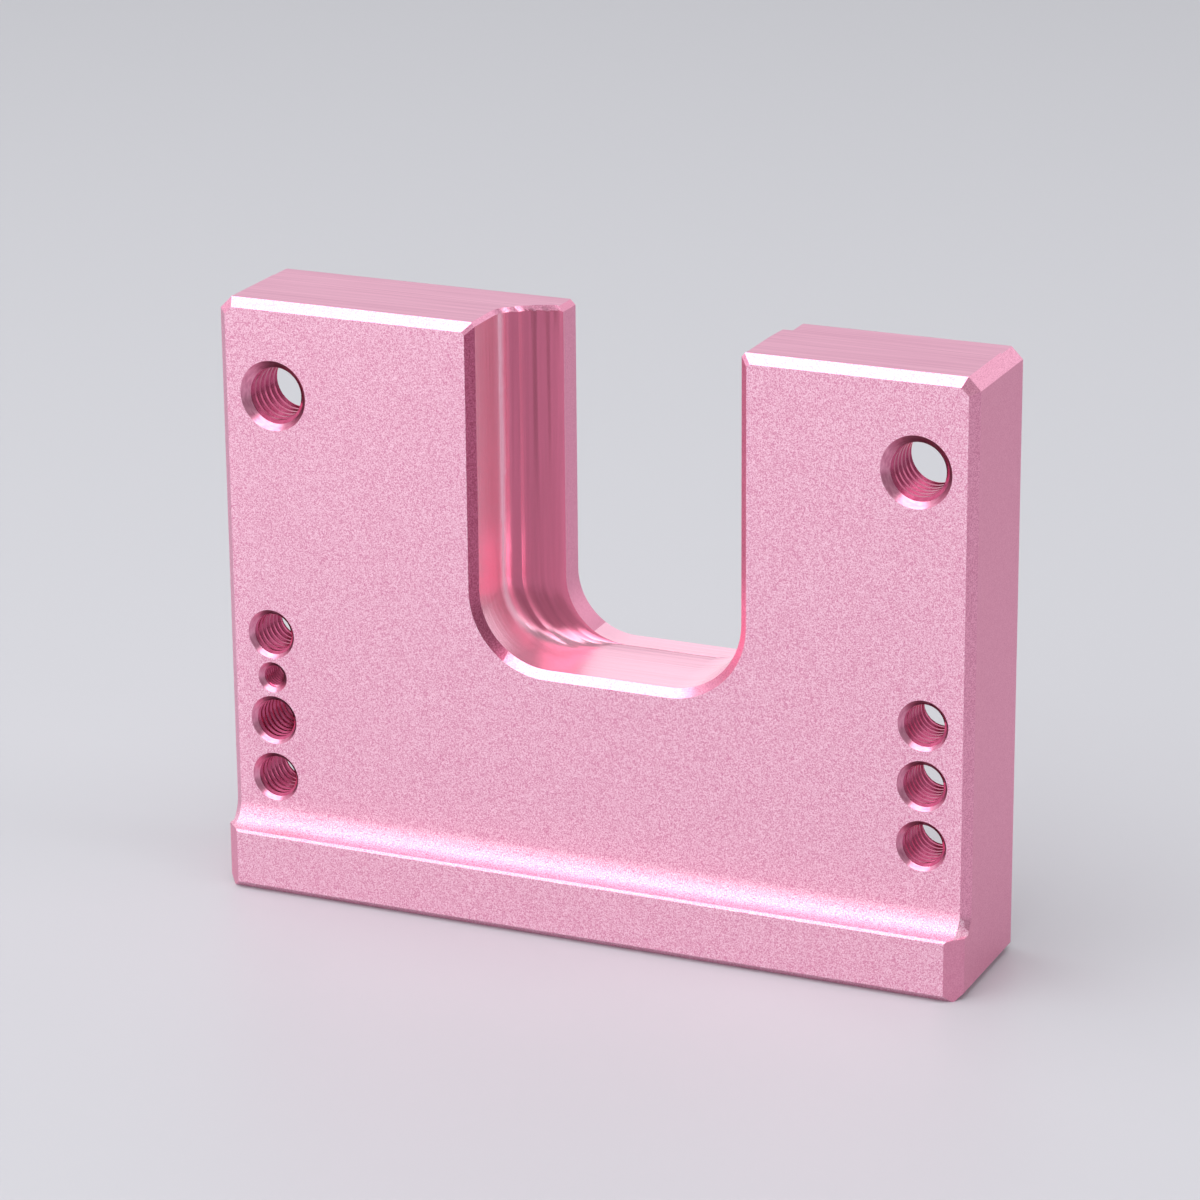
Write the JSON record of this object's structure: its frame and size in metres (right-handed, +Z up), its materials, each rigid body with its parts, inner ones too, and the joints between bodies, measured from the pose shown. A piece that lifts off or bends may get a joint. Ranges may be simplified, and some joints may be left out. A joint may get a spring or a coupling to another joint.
{
  "type": "slotted mounting plate",
  "caption": "Upright milled mounting plate with a round-cornered slot open at the top, scalloped along one wall, countersunk threads in its posts and a foot along its lower front edge.",
  "frame": {"origin": "middle of the underside, midway along the plate and midway between foot front and back face", "axes": "+X along the plate to its right end seen from the front, +Y from the front face to the back face, +Z up"},
  "size_m": [0.1, 0.0198, 0.0775],
  "materials": {
    "anodised_aluminium": "bead-blasted and rose anodised, milled edges brighter"
  },
  "bodies": {
    "root": {"u_slot_plate": "anodised_aluminium"}
  },
  "joints": []
}
